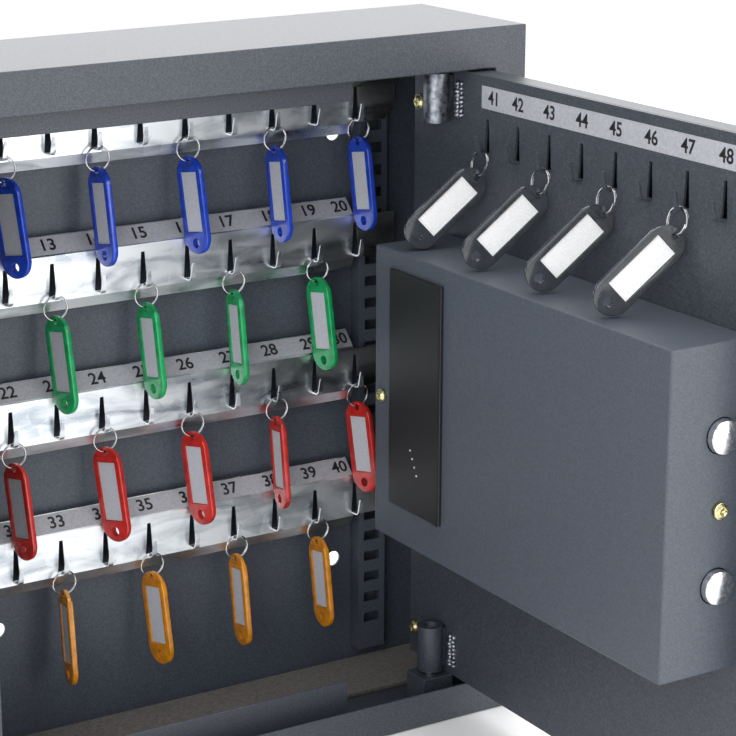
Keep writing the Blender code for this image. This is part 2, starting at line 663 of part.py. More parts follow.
def build_tag(name, pivot, material, lean, turn, ring_lean=0.0, parent=None):
    """The plate hangs square to its ring, leaning away from the sheet behind it."""
    bpy.ops.mesh.primitive_torus_add(major_radius=RING_RADIUS, minor_radius=RING_WIRE,
                                     major_segments=20, minor_segments=6,
                                     rotation=(math.pi / 2, 0, 0), location=(0, 0, 0))
    tag = bpy.context.object
    tag.name = name
    tag.data.name = name
    swing = Matrix.Rotation(ring_lean, 4, "X")
    tag.data.transform(swing @ Matrix.Translation((0, 0, -RING_RADIUS)) @ tag.matrix_basis)
    tag.matrix_basis = Matrix.Identity(4)
    for collection in list(tag.users_collection):
        collection.objects.unlink(tag)
    parts.objects.link(tag)
    plate = bmesh.new()
    radius = TAG_WIDTH / 2
    rim = bmesh.ops.create_circle(plate, cap_ends=True, segments=24, radius=radius)["verts"]
    for vert in rim:
        vert.co.y += -radius if vert.co.y > -1e-6 else radius - TAG_LENGTH
    front = bmesh.ops.extrude_face_region(plate, geom=plate.faces[:])["geom"]
    moved = [item for item in front if isinstance(item, bmesh.types.BMVert)]
    bmesh.ops.translate(plate, verts=moved, vec=(0, 0, TAG_THICKNESS))
    stand = Matrix.Rotation(math.pi / 2, 4, "X") @ Matrix.Translation((0, 0, -TAG_THICKNESS / 2))
    square = Matrix.Rotation(math.pi / 2, 4, "Z") @ Matrix.Translation((0, 0, TAG_OVERLAP))
    hang = Matrix.Rotation(turn, 4, "Z") @ Matrix.Rotation(lean, 4, "X")
    ring_end = swing @ Vector((0, 0, -2 * RING_RADIUS))
    plate.transform(Matrix.Translation(ring_end) @ hang @ square @ stand)
    helper = link_mesh(name + "_plate", plate, cutters)
    combine(tag, helper, "UNION")
    for obj in (tag, helper):
        obj.parent = parent
        obj.location = pivot
    finish(tag, material, True)


def build_rail_tags():
    turns = {2: 22, 4: 4, 6: 11, 8: 0, 10: 3, 13: 10, 15: 5, 17: -5, 19: 7, 22: 11, 24: 20,
             26: 14, 28: -8, 30: 11, 33: -9, 35: 10, 37: -4, 39: -2}
    colors = {1: blue, 2: green, 3: red, 4: orange}
    for number, turn in turns.items():
        row = (number - 1) // HOOKS_PER_ROW + 1
        x = FIRST_HOOK_X + ((number - 1) % HOOKS_PER_ROW) * HOOK_PITCH
        z = ROW_ONE_Z - (row - 1) * ROW_PITCH + RING_ABOVE_SLOT
        pivot = (x, RAIL_Y - RING_OUT, z)
        build_tag(f"key_tag_{number:02d}", pivot, colors[row], -TAG_LEAN, math.radians(turn))


def build_door_tags(hinge):
    for index, x in enumerate(door_hook_centres()):
        if index % 2 == 0:
            pivot = (x, FACE_Y + RING_OUT - SKIN / 2, DOOR_SLOT_Z + RING_ABOVE_SLOT)
            build_tag(f"key_tag_{41 + index}", pivot, clear, DOOR_TAG_LEAN, DOOR_TAG_TURN,
                      DOOR_RING_LEAN, hinge)


def finish(obj, material, round_shape=False):
    obj.data.materials.clear()
    own = material.copy()
    own.name = obj.name + "_" + material.name
    obj.data.materials.append(own)
    obj.data.polygons.foreach_set("use_smooth", [round_shape] * len(obj.data.polygons))
    if round_shape:
        obj.data.set_sharp_from_angle(angle=math.radians(40))


clear_scene()
parts = make_collection("key_cabinet")
cutters = make_collection("cutters")
paint = make_material("anthracite_powder_coat", (0.070, 0.080, 0.095), 0.55)
inner_paint = make_material("dark_powder_coat", (0.035, 0.038, 0.045), 0.6)
zinc = make_material("galvanised_steel", (0.72, 0.76, 0.80), 0.3, 1.0)
steel = make_material("bright_steel", (0.75, 0.76, 0.78), 0.22, 1.0)
yellow_zinc = make_material("yellow_zinc", (0.80, 0.72, 0.42), 0.3, 1.0)
black_plastic = make_material("black_plastic", (0.02, 0.02, 0.022), 0.45)
black_metal = make_material("black_painted_zinc", (0.02, 0.02, 0.022), 0.4)
rubber = make_material("dark_rubber", (0.05, 0.05, 0.055), 0.7)
felt = make_material("grey_felt", (0.10, 0.095, 0.09), 0.95)
blue = make_material("blue_plastic", (0.02, 0.08, 0.62), 0.3)
green = make_material("green_plastic", (0.01, 0.45, 0.14), 0.3)
red = make_material("red_plastic", (0.68, 0.03, 0.02), 0.3)
orange = make_material("orange_plastic", (0.80, 0.30, 0.01), 0.3)
clear = make_material("clear_plastic", (0.75, 0.77, 0.80), 0.15, alpha=0.6)

build_shell()
build_back_panel()
build_stop_lips()
build_strike()
for side in (-1, 1):
    build_upright(side)
for row in range(1, ROW_COUNT + 1):
    build_rail(row)
build_felt()
build_hinge_fixings()

door_hinge = bpy.data.objects.new("door_hinge", None)
scene_collection.objects.link(door_hinge)
door_hinge.location = (HINGE_X, HINGE_Y, 0)
door_hinge.rotation_euler = (0, 0, DOOR_OPEN)

build_door(door_hinge)
build_hinge_tubes(door_hinge)
build_lock_cover(door_hinge)
build_battery(door_hinge)
build_lock(door_hinge)
build_keypad(door_hinge)
build_rail_tags()
build_door_tags(door_hinge)
cutters.hide_render = True
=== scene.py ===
"""Looks of the key cabinet: finishes, printed numbers, weld beads, key tags and the studio."""
import json
import math

import bmesh
import bpy
from mathutils import Matrix, Vector


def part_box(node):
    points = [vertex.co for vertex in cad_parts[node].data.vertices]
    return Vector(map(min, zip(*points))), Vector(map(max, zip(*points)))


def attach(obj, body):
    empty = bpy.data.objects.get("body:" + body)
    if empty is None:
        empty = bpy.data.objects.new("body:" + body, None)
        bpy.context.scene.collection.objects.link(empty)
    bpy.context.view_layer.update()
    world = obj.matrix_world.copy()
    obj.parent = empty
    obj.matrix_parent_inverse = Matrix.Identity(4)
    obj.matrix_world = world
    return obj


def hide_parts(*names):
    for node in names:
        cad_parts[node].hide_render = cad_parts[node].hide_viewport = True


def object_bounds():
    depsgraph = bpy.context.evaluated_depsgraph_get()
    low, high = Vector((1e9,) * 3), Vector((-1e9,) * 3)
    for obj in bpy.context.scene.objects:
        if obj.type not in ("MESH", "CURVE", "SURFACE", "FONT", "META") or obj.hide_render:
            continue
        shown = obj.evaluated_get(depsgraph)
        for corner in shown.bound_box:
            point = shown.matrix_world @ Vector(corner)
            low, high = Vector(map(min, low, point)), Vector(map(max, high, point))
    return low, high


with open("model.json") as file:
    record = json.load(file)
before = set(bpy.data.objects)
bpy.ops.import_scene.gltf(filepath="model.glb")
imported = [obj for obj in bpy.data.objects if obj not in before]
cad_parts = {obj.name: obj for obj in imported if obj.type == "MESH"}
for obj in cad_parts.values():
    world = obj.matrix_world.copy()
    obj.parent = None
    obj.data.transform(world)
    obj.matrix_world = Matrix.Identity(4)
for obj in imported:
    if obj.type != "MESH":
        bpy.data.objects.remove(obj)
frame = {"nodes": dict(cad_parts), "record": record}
low_corner, high_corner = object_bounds()


# --- Folded body, frame and fixed sheet parts ---------------------------------------------
# The body is 1.5 mm steel sheet, folded and welded, then sprayed with an epoxy-polyester
# powder. The powder melts into a satin skin with a fine orange peel and pale flecks.

def linear(code):
    """An sRGB hex colour as the linear values that a shader takes."""
    parts = [int(code[i:i + 2], 16) / 255 for i in (0, 2, 4)]
    return (*[p / 12.92 if p <= 0.04045 else ((p + 0.055) / 1.055) ** 2.4 for p in parts], 1.0)


def add(tree, kind, inputs=None, **settings):
    """Adds one node: settings are its own values, inputs are numbers, colours or links."""
    node = tree.nodes.new(kind)
    for key, value in settings.items():
        setattr(node, key, value)
    for key, value in (inputs or {}).items():
        if isinstance(value, bpy.types.NodeSocket):
            tree.links.new(value, node.inputs[key])
        else:
            node.inputs[key].default_value = value
    return node


def new_finish(name, **shader_values):
    """A material with its shader's even values set; patterns are linked to it afterwards."""
    material = bpy.data.materials.new(name)
    material.use_nodes = True
    tree = material.node_tree
    shader = tree.nodes["Principled BSDF"]
    for key, value in shader_values.items():
        shader.inputs[key.replace("_", " ")].default_value = value
    coords = add(tree, "ShaderNodeTexCoord").outputs["Object"]
    return material, tree, shader, coords


def two_tones(tree, factor, dark, light, low=0.35, high=0.65):
    """A colour ramp between two hex colours."""
    ramp = add(tree, "ShaderNodeValToRGB", {"Fac": factor})
    ramp.color_ramp.elements[0].position = low
    ramp.color_ramp.elements[0].color = linear(dark)
    ramp.color_ramp.elements[1].position = high
    ramp.color_ramp.elements[1].color = linear(light)
    return ramp.outputs["Color"]


def powder_coat(name, dark, light, peel=0.0016, fleck=0.0011):
    """Satin powder coat. The real flecks are about 0.3 mm; they are drawn 1.1 mm to show."""
    material, tree, shader, coords = new_finish(name, Roughness=0.46, IOR=1.5)
    flecks = add(tree, "ShaderNodeTexNoise", {"Vector": coords, "Scale": 1 / fleck, "Detail": 2.0})
    tree.links.new(two_tones(tree, flecks.outputs["Fac"], dark, light, low=0.38, high=0.72),
                   shader.inputs["Base Color"])
    skin = add(tree, "ShaderNodeTexNoise", {"Vector": coords, "Scale": 1 / peel, "Detail": 3.0})
    bump = add(tree, "ShaderNodeBump", {"Height": skin.outputs["Fac"], "Strength": 0.45,
                                        "Distance": 0.00022})
    tree.links.new(bump.outputs["Normal"], shader.inputs["Normal"])
    return material


def mottled(name, dark, light, grain, roughness, detail=2.0):
    """A plain surface with a fine mottle of two tones, its grain in metres."""
    material, tree, shader, coords = new_finish(name, Roughness=roughness)
    noise = add(tree, "ShaderNodeTexNoise", {"Vector": coords, "Scale": 1 / grain,
                                             "Detail": detail})
    tree.links.new(two_tones(tree, noise.outputs["Fac"], dark, light), shader.inputs["Base Color"])
    return material


def body_of_node(node):
    bodies = frame["record"]["behaviour"]["bodies"]
    return next(name for name, nodes in bodies.items() if node in nodes)


def refinished(node, material):
    """Gives a CAD solid that is shown as it is its real finish."""
    materials = frame["nodes"][node].data.materials
    materials.clear()
    materials.append(material)


def edged(node, material, edge=0.0, smooth=False):
    """Shows a CAD solid with its pressed or turned edges rounded, in its real finish."""
    sharp_angle = math.radians(40)
    bm = bmesh.new()
    bm.from_mesh(frame["nodes"][node].data)
    bmesh.ops.remove_doubles(bm, verts=bm.verts, dist=1e-6)
    bmesh.ops.dissolve_limit(bm, angle_limit=math.radians(0.5), verts=bm.verts, edges=bm.edges)
    if edge:
        sharp = [e for e in bm.edges
                 if len(e.link_faces) == 2 and e.calc_face_angle(0) > sharp_angle]
        bmesh.ops.bevel(bm, geom=sharp, offset=edge, offset_type="OFFSET", affect="EDGES",
                        segments=2, profile=0.5, material=-1, clamp_overlap=True)
    piece = bmesh_piece(node + "_shown", bm, material, smooth)
    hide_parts(node)
    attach(piece, body_of_node(node))


def bmesh_piece(name, bm, material, smooth=False):
    """Makes a bmesh a piece of the scene; smooth leaves only its steep edges sharp."""
    steep_angle = math.radians(38)
    mesh = bpy.data.meshes.new(name)
    bm.to_mesh(mesh)
    bm.free()
    if smooth:
        mesh.polygons.foreach_set("use_smooth", [True] * len(mesh.polygons))
        mesh.set_sharp_from_angle(angle=steep_angle)
    mesh.materials.append(material)
    piece = bpy.data.objects.new(name, mesh)
    bpy.context.scene.collection.objects.link(piece)
    return piece


body_coat = powder_coat("anthracite_powder_coat", "32363D", "464B54")
# The back panel and uprights have the body's powder coat, drawn a few shades lighter: painted
# light inside the body.
interior_coat_painted_light = powder_coat("dark_powder_coat", "3F454F", "505762")
edged("cabinet_shell", body_coat, edge=0.0007)
edged("back_panel", interior_coat_painted_light)
for node in ("stop_lip_top", "stop_lip_bottom", "strike_angle"):
    edged(node, body_coat, edge=0.0004)
for node in ("hinge_block_upper", "hinge_block_lower"):
    edged(node, body_coat, edge=0.0005)


# --- Slotted uprights ---------------------------------------------------------------------
# Roll-formed channels spot-welded to the back panel and coated with it. The rails hook
# into their punched slots.

# The uprights take the back panel's lighter coat: painted light.
for node in ("upright_left", "upright_right"):
    edged(node, interior_coat_painted_light, edge=0.0002)


# --- Hook rails ---------------------------------------------------------------------------
# Hot-dip galvanised strip, 1 mm thick, with its hooks lanced out and bent. The zinc is
# bright, with a soft crystal spangle and smeary roller marks along the strip.

def galvanised(name):
    spangle_size, spangle_share = 0.010, 0.10
    smear_size, smear_stretch = 0.014, (0.25, 1.0, 1.0)
    material, tree, shader, coords = new_finish(name, Metallic=1.0)
    spangle = add(tree, "ShaderNodeTexVoronoi", {"Vector": coords, "Scale": 1 / spangle_size})
    smear_space = add(tree, "ShaderNodeMapping", {"Vector": coords, "Scale": smear_stretch})
    smear = add(tree, "ShaderNodeTexNoise", {"Vector": smear_space.outputs["Vector"],
                                             "Scale": 1 / smear_size, "Detail": 5.0,
                                             "Distortion": 0.8})
    faint = add(tree, "ShaderNodeMath", {0: spangle.outputs["Color"], 1: spangle_share},
                operation="MULTIPLY")
    total = add(tree, "ShaderNodeMath", {0: faint.outputs[0], 1: smear.outputs["Fac"]},
                operation="ADD")
    tree.links.new(two_tones(tree, total.outputs[0], "A9B1B9", "F2F6F9", low=0.36, high=0.62),
                   shader.inputs["Base Color"])
    rough = add(tree, "ShaderNodeMapRange", {"Value": smear.outputs["Fac"], "From Min": 0.3,
                                             "From Max": 0.7, "To Min": 0.24, "To Max": 0.42})
    tree.links.new(rough.outputs["Result"], shader.inputs["Roughness"])
    bump = add(tree, "ShaderNodeBump", {"Height": smear.outputs["Fac"], "Strength": 0.25,
                                        "Distance": 0.0004})
    tree.links.new(bump.outputs["Normal"], shader.inputs["Normal"])
    return material


zinc_sheet = galvanised("galvanised_steel")
for row in range(1, 5):
    edged(f"hook_rail_{row}", zinc_sheet, edge=0.00015)


# --- Number strips ------------------------------------------------------------------------
# Self-adhesive silver-grey film, printed black. One lies on each rail's leaning lip and one
# across the top of the door; the end numbers are printed closer in than the others.

def screen_ink(name, code):
    """Screen ink, in one even colour."""
    return new_finish(name, Roughness=0.5, Base_Color=linear(code))[0]


def block_bmesh(size, centre=(0, 0, 0), edge=0.0):
    bm = bmesh.new()
    bmesh.ops.create_cube(bm, size=1.0,
                          matrix=Matrix.Translation(centre) @ Matrix.Diagonal((*size, 1)))
    if edge:
        bmesh.ops.bevel(bm, geom=bm.edges[:], offset=edge, offset_type="OFFSET", affect="EDGES",
                        segments=2, profile=0.5, material=-1, clamp_overlap=True)
    return bm


def printed_text(name, words, height, place, material, body):
    """Printed marks of one height: text made a thin mesh, then put in its place."""
    mark_share = 0.72
    curve = bpy.data.curves.new(name, "FONT")
    curve.body = words
    curve.size = height / mark_share
    curve.align_x = "CENTER"
    curve.align_y = "CENTER"
    curve.extrude = 0.00004
    curve.offset = 0.00020
    curve.resolution_u = 4
    maker = bpy.data.objects.new(name + "_maker", curve)
    bpy.context.scene.collection.objects.link(maker)
    graph = bpy.context.evaluated_depsgraph_get()
    mesh = bpy.data.meshes.new_from_object(maker.evaluated_get(graph))
    bpy.data.objects.remove(maker, do_unlink=True)
    mesh.transform(place)
    mesh.materials.clear()
    mesh.materials.append(material)
    mesh.name = name
    piece = bpy.data.objects.new(name, mesh)
    bpy.context.scene.collection.objects.link(piece)
    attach(piece, body)
    return piece


def number_strip(name, numbers, centres, length, height, place, body):
    """A strip with its middle at place, facing along place's -Y, and its numbers on it."""
    film, print_y, digit_height = 0.00016, -0.00014, 0.0080
    bm = block_bmesh((length, film, height))
    bm.transform(place)
    strip = bmesh_piece(name, bm, silver_film_and_dot_highlight)
    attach(strip, body)
    upright = Matrix.Rotation(math.radians(90), 4, "X")
    for number, x in zip(numbers, centres):
        spot = place @ Matrix.Translation((x, print_y, 0)) @ upright
        digits = printed_text(f"{name}_digits_{number}", str(number), digit_height, spot,
                              black_ink, body)


# The silver vinyl is the number strips' real film; on the hatch's grip dots it is a painted
# highlight.
silver_film_and_dot_highlight = mottled("silver_grey_vinyl_and_dot_highlight", "9C9DA4", "A9AAB0", grain=0.0018, roughness=0.42)
black_ink = screen_ink("black_screen_ink", "101114")
HOOK_PITCH = 0.030
FIRST_HOOK_X = -0.143
RAIL_Y = -0.0165
hook_centres = [FIRST_HOOK_X + HOOK_PITCH * i for i in range(10)]
strip_left, strip_right, strip_height = -0.130, 0.1258, 0.0128
lip_lean = math.radians(45)
lip_length = 0.0145
lip_top_inset = 0.0004
strip_rise = 0.0002
strip_above_lip = 0.00066
down_lip = Vector((0, -math.sin(lip_lean), -math.cos(lip_lean)))
off_lip = Vector((0, -math.cos(lip_lean), math.sin(lip_lean)))
number_shifts = {0: 0.0165, 1: 0.001, 8: -0.0015, 9: -0.0085}
for row in range(1, 5):
    rail_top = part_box(f"hook_rail_{row}")[1][2]
    middle = Vector((0, RAIL_Y + lip_length * math.sin(lip_lean), rail_top - lip_top_inset))
    middle += down_lip * (lip_length / 2 - strip_rise) + off_lip * strip_above_lip
    middle.x = (strip_left + strip_right) / 2
    place = Matrix.Translation(middle) @ Matrix.Rotation(-lip_lean, 4, "X")
    first = 10 * (row - 1) + 1
    centres = [x - middle.x + number_shifts.get(i, 0) for i, x in enumerate(hook_centres)]
    number_strip(f"number_strip_{row}", range(first, first + 10), centres,
                 strip_right - strip_left, strip_height, place, "cabinet")


# --- Felt mat -----------------------------------------------------------------------------
# Needle-punched grey-brown felt, glued to the floor so that keys do not rattle. The fibres
# give it a soft, uneven nap and no shine.

def felt_finish(name):
    material, tree, shader, coords = new_finish(name, Roughness=0.95, Sheen_Weight=0.25,
                                                Specular_IOR_Level=0.15)
    nap = add(tree, "ShaderNodeTexNoise", {"Vector": coords, "Scale": 1 / 0.0018, "Detail": 5.0,
                                           "Roughness": 0.75})
    tree.links.new(two_tones(tree, nap.outputs["Fac"], "35312F", "6E6863", low=0.3, high=0.7),
                   shader.inputs["Base Color"])
    bump = add(tree, "ShaderNodeBump", {"Height": nap.outputs["Fac"], "Strength": 0.8,
                                        "Distance": 0.0008})
    tree.links.new(bump.outputs["Normal"], shader.inputs["Normal"])
    return material


edged("felt_mat", felt_finish("needle_felt"), edge=0.0006)


# --- Door pan and inner sheet -------------------------------------------------------------
# A folded front pan and a flat inner sheet, welded together and coated like the body. The
# sheet reaches past the pan on the hinge side and carries eight lanced hooks.

edged("door_panel", body_coat, edge=0.0007)
edged("door_inner_sheet", body_coat, edge=0.00015)
HINGE_X = 0.140
tube_low, tube_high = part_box("hinge_tube_upper")
hinge = Vector((HINGE_X, (tube_low[1] + tube_high[1]) / 2, 0))


def on_door(x, y, z):
    """A point given for the closed door from its hinge axis, with the door open."""
    return Vector((hinge.x - y, hinge.y + x, z))


door_turn = Matrix.Rotation(math.radians(90), 4, "Z")
door_face = -0.009
first_door_hook = -0.0405
door_hooks = [first_door_hook - HOOK_PITCH * i for i in range(8)]
strip_from, strip_to, strip_z, strip_height = -0.0345, -0.264, 0.3982, 0.0134
strip_above_sheet = 0.00012
first_number_shift = 0.0062
strip_middle = (strip_from + strip_to) / 2
# The inner side looks along +Y when the door is shut, so the strip is turned to face that way.
strip_spot = on_door(strip_middle, door_face + strip_above_sheet, strip_z)
strip_place = Matrix.Translation(strip_spot) @ door_turn @ Matrix.Rotation(math.pi, 4, "Z")
strip_centres = [strip_middle - x for x in door_hooks]
strip_centres[0] += first_number_shift
number_strip("number_strip_door", range(41, 49), strip_centres, strip_from - strip_to,
             strip_height, strip_place, "door")


# --- Hinges -------------------------------------------------------------------------------
# Two lengths of thick-walled steel tube, welded to the door and turning on bright steel pins
# that are fixed in the cabinet. The beads are left as laid; the coat over them is thin enough
# for the metal to show. The upper tube is coated like the lower one; its pale metallic finish
# is painted sheen.

def bare_steel(name, rough, tint_dark, tint_light, mark=0.002):
    material, tree, shader, coords = new_finish(name, Metallic=1.0)
    marks = add(tree, "ShaderNodeTexNoise", {"Vector": coords, "Scale": 1 / mark, "Detail": 3.0})
    tree.links.new(two_tones(tree, marks.outputs["Fac"], tint_dark, tint_light),
                   shader.inputs["Base Color"])
    spread = add(tree, "ShaderNodeMapRange", {"Value": marks.outputs["Fac"], "From Min": 0.3,
                                              "From Max": 0.7, "To Min": rough * 0.75,
                                              "To Max": rough * 1.3})
    tree.links.new(spread.outputs["Result"], shader.inputs["Roughness"])
    return material


def weld_bead(name, start, end, radius, lumps):
    """A row of overlapping, uneven lumps, as a stitched weld is laid."""
    bm = bmesh.new()
    for i in range(lumps):
        spot = start.lerp(end, i / (lumps - 1))
        wobble = 1 + 0.22 * math.sin(i * 2.4) + 0.1 * math.cos(i * 5.1)
        size = Matrix.Diagonal((radius * wobble, radius * wobble, radius * 0.8, 1))
        bmesh.ops.create_icosphere(bm, subdivisions=2, radius=1.0,
                                   matrix=Matrix.Translation(spot) @ size)
    piece = bmesh_piece(name, bm, weld_metal, True)
    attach(piece, "door")


bright_steel = bare_steel("turned_bright_steel", 0.2, "C9CBD0", "E4E6EA")
weld_metal = bare_steel("overpainted_weld", 0.42, "5C626C", "C6CAD2", 0.0013)
# The upper tube's pale metallic finish is painted sheen; the lower tube shows the body coat.
upper_tube_painted_sheen = bare_steel("tube_coat_painted_sheen", 0.36, "6F747C", "A9ADB4", 0.003)
edged("hinge_tube_upper", upper_tube_painted_sheen, edge=0.0004, smooth=True)
edged("hinge_tube_lower", body_coat, edge=0.0004, smooth=True)
bead_y, toe_y = door_face + 0.0006, door_face + 0.0004
bare_below, bare_above = 0.005, 0.006
# Each bead beside a tube: its name, where it lies on the door, its radius and its lumps.
beads = (("weld_bead_{}_free", -0.0105, bead_y, 0.0021, 9),
         ("weld_toe_{}", -0.0141, toe_y, 0.0018, 8),
         ("weld_bead_{}_hinge", 0.0065, bead_y, 0.0021, 9))
for place in ("upper", "lower"):
    edged(f"hinge_pin_{place}", bright_steel, edge=0.0005, smooth=True)
    low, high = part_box(f"hinge_tube_{place}")
    for name, x, y, radius, lumps in beads:
        weld_bead(name.format(place), on_door(x, y, low[2] + bare_below),
                  on_door(x, y, high[2] - bare_above), radius, lumps)


# --- Screws -------------------------------------------------------------------------------
# Pan-head screws with a cross recess, turned into the hinge blocks and the lock cover. They
# are zinc plated and yellow passivated, which leaves them a bright pale gold.

yellow_zinc = bare_steel("yellow_passivated_zinc", 0.27, "BDB27C", "E6E0B4", 0.0015)
for node in ("hinge_screw_upper", "hinge_screw_lower", "cover_screw_face", "cover_screw_side"):
    edged(node, yellow_zinc, edge=0.00035, smooth=True)


# --- Lock cover, battery hatch and cells --------------------------------------------------
# A deep box of folded sheet covers the lock. Its hatch is black ABS, moulded with a fine
# grain and four raised grip dots, and slides up off the cells. The dots are drawn pale grey:
# painted highlights.

def grained_black(name, dark, light, rough):
    """A black moulding or paint with a fine grain in its colour and surface."""
    material, tree, shader, coords = new_finish(name, Roughness=rough, IOR=1.53)
    grain = add(tree, "ShaderNodeTexNoise", {"Vector": coords, "Scale": 1 / 0.0009, "Detail": 2.0})
    tree.links.new(two_tones(tree, grain.outputs["Fac"], dark, light), shader.inputs["Base Color"])
    bump = add(tree, "ShaderNodeBump", {"Height": grain.outputs["Fac"], "Strength": 0.3,
                                        "Distance": 0.0001})
    tree.links.new(bump.outputs["Normal"], shader.inputs["Normal"])
    return material


# The lock cover has the body's powder coat, drawn a few shades lighter: painted light on the
# cover.
lock_cover_coat_painted_light = powder_coat("lock_cover_powder_coat_painted_lighter", "3E444D", "4D535D", fleck=0.0009)
black_abs = grained_black("black_abs", "101113", "1B1C1F", rough=0.42)
edged("lock_cover", lock_cover_coat_painted_light)
edged("battery_cover", black_abs, edge=0.00035)
refinished("battery_holder", black_abs)
hatch_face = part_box("battery_cover")[1][0] - 0.0022
first_dot_x, first_dot_z = -0.0455, 0.1925
dot_step_x, dot_step_z = 0.0023, 0.0047
dot_radius = 0.0007
# The black moulded dots are drawn in pale silver-grey: painted highlights.
for i in range(4):
    bm = bmesh.new()
    spot = on_door(first_dot_x - dot_step_x * i, 0, first_dot_z - dot_step_z * i)
    spot.x = hatch_face
    bmesh.ops.create_uvsphere(bm, u_segments=12, v_segments=8, radius=dot_radius,
                              matrix=Matrix.Translation(spot))
    dot = bmesh_piece(f"grip_dot_painted_highlight_{i + 1}", bm, silver_film_and_dot_highlight, True)
    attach(dot, "battery_hatch")


def cell_label(name):
    """A printed sleeve: dark and copper bands round the cell."""
    material, tree, shader, coords = new_finish(name, Roughness=0.3, Coat_Weight=0.4)
    bands = add(tree, "ShaderNodeTexWave", {"Vector": coords, "Scale": 3.0}, bands_direction="Z")
    tree.links.new(two_tones(tree, bands.outputs["Fac"], "20242C", "B98A3C", low=0.45, high=0.5),
                   shader.inputs["Base Color"])
    return material


cell_wrap = cell_label("printed_cell_wrap")
cell_radius, cell_length, cell_edge = 0.00705, 0.049, 0.0006
first_cell = (-0.0365, 0.0325, 0.201)
column_pitch, level_pitch = 0.0235, 0.0535
for column in range(2):
    for level in range(2):
        bm = bmesh.new()
        middle = on_door(first_cell[0] - column_pitch * column, first_cell[1],
                         first_cell[2] + level_pitch * level)
        bmesh.ops.create_cone(bm, cap_ends=True, segments=32, radius1=cell_radius,
                              radius2=cell_radius, depth=cell_length,
                              matrix=Matrix.Translation(middle))
        rims = [e for e in bm.edges if e.calc_face_angle(0) > 1]
        bmesh.ops.bevel(bm, geom=rims, offset=cell_edge, offset_type="OFFSET", affect="EDGES",
                        segments=2, profile=0.5, material=-1)
        cell = bmesh_piece(f"battery_cell_{2 * column + level + 1}", bm, cell_wrap, True)
        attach(cell, "door")


# --- Bolts and lock works -----------------------------------------------------------------
# Two turned steel bolts on a zinc-plated carriage. The knob's shaft carries a crank whose
# pin throws them; a solenoid's plunger holds the carriage.

for node in ("bolt_upper", "bolt_lower"):
    edged(node, bright_steel, smooth=True)
for node, material in (("bolt_carriage", zinc_sheet), ("lock_plate", zinc_sheet),
                       ("solenoid_body", zinc_sheet), ("solenoid_plunger", bright_steel),
                       ("knob_shaft", bright_steel)):
    refinished(node, material)


# --- Keypad, knob and emergency lock ------------------------------------------------------
# The front of the door: a moulded housing with a one-piece rubber key mat and white digits,
# a round knob with a grip bar, and a plated cover over the emergency lock.

key_rubber = mottled("silicone_rubber", "2E3034", "3A3C41", grain=0.0012, roughness=0.62)
knob_paint = grained_black("black_painted_zinc", "0C0D0E", "141517", rough=0.3)
edged("keypad_housing", black_abs, smooth=True)
edged("keypad_mat", key_rubber, edge=0.0012)
edged("knob", knob_paint, edge=0.0012, smooth=True)
edged("key_cylinder", bright_steel, edge=0.0006, smooth=True)
white_ink = screen_ink("white_screen_ink", "E9EAEC")
mark_height = 0.006
marks_x, marks_z = -0.107, 0.2275
mark_pitch_x, mark_pitch_z = 0.0215, 0.0212
mark_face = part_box("keypad_mat")[1][0] + 0.00005
for i, mark in enumerate("123456789C0E"):
    column, row = i % 3, i // 3
    spot = on_door(marks_x - (1 - column) * mark_pitch_x, 0,
                   marks_z + (1.5 - row) * mark_pitch_z)
    spot.x = mark_face
    place = Matrix.Translation(spot) @ door_turn @ Matrix.Rotation(math.radians(90), 4, "X")
    digit = printed_text(f"key_mark_{i + 1}", mark, mark_height, place, white_ink, "door")


# --- Key tags -----------------------------------------------------------------------------
# Translucent polystyrene bodies, round at both ends and with a hole in each, that hold a
# paper label between two pockets. Each hangs on a split ring of nickel-plated spring wire.

def tag_plastic(name, code, clear=0.25, rough=0.22):
    """Translucent plastic, clouded between its colour and a slightly darker one."""
    shade_share = 0.86
    material, tree, shader, coords = new_finish(name, Roughness=rough, IOR=1.55,
                                                Transmission_Weight=clear, Coat_Weight=0.3)
    cloud = add(tree, "ShaderNodeTexNoise", {"Vector": coords, "Scale": 1 / 0.006})
    shade = "".join(f"{int(int(code[i:i + 2], 16) * shade_share):02X}" for i in (0, 2, 4))
    tree.links.new(two_tones(tree, cloud.outputs["Fac"], shade, code), shader.inputs["Base Color"])
    return material


def carved(bm, cutters):
    """Cuts the cutters out of a shape with exact Booleans and gives the cut shape back."""
    made = []
    for index, shape in enumerate([bm, *cutters]):
        mesh = bpy.data.meshes.new(f"blank_{index}")
        shape.to_mesh(mesh)
        shape.free()
        blank = bpy.data.objects.new(f"blank_{index}", mesh)
        bpy.context.scene.collection.objects.link(blank)
        made.append(blank)
    for tool in made[1:]:
        cut = made[0].modifiers.new("cut", "BOOLEAN")
        cut.operation = "DIFFERENCE"
        cut.solver = "EXACT"
        cut.object = tool
    graph = bpy.context.evaluated_depsgraph_get()
    result = bmesh.new()
    result.from_mesh(made[0].evaluated_get(graph).to_mesh())
    for blank in made:
        bpy.data.objects.remove(blank, do_unlink=True)
    return result


